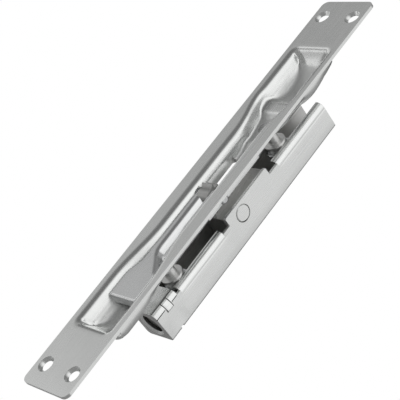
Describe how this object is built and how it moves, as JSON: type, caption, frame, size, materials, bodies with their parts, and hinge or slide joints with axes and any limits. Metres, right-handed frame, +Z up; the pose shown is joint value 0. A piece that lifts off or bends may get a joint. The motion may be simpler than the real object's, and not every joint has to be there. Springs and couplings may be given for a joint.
{
  "type": "lever flush bolt",
  "caption": "Lever flush bolt: a pressed face plate with a finger lever that drives a sliding rail with a threaded rod socket through a rack.",
  "frame": {"origin": "centre of the four-screw pattern, on the back of the face plate, which seats on the door's edge", "axes": "+Z up along the face plate, away from the end where the rod screws in; +Y into the door; the face looks along -Y; +X to the right seen from the front"},
  "size_m": [0.03, 0.0304, 0.22],
  "materials": {
    "zinc_plated_plate": "zinc-plated pressed sheet steel, satin",
    "zinc_plated_lever": "zinc-plated pressed sheet steel, satin",
    "zinc_plated_rail": "zinc-plated bent sheet steel, bright satin",
    "zinc_plated_pin": "zinc-plated turned steel, bright",
    "spring_steel": "plain spring steel",
    "dark_steel": "sintered steel, lightly oiled",
    "zinc_plated_sleeve": "zinc-plated turned steel, satin"
  },
  "bodies": {
    "mount_body": {"face_plate": "zinc_plated_plate", "bearing_plate_near": "zinc_plated_plate", "bearing_plate_far": "zinc_plated_plate", "lever_axle": "zinc_plated_pin", "spring_washer_near": "spring_steel", "spring_washer_far": "spring_steel", "guide_stud_lower": "zinc_plated_pin", "guide_stud_upper": "zinc_plated_pin", "guide_sleeve_lower": "zinc_plated_sleeve", "guide_sleeve_upper": "zinc_plated_sleeve", "friction_washer_lower": "spring_steel", "friction_washer_upper": "spring_steel", "retaining_washer_lower": "zinc_plated_pin", "retaining_washer_upper": "zinc_plated_pin"},
    "lever_body": {"lever": "zinc_plated_lever", "drive_pinion": "dark_steel"},
    "slide_body": {"slide_rail": "zinc_plated_rail", "rack": "dark_steel", "rack_rivet": "zinc_plated_pin"}
  },
  "joints": [
    {"name": "lever_pivot", "type": "hinge", "parent": "mount_body", "child": "lever_body", "pos_m": [0, 0.00425, -0.004], "axis": [-1, 0, 0], "range_deg": [0, 172]},
    {"name": "slide_travel", "type": "slide", "parent": "mount_body", "child": "slide_body", "axis": [0, 0, -1], "range_m": [0, 0.015]}
  ],
  "couplings": [
    {"joint": "lever_pivot", "follows": "slide_travel", "rad_per_m": 200.13}
  ]
}
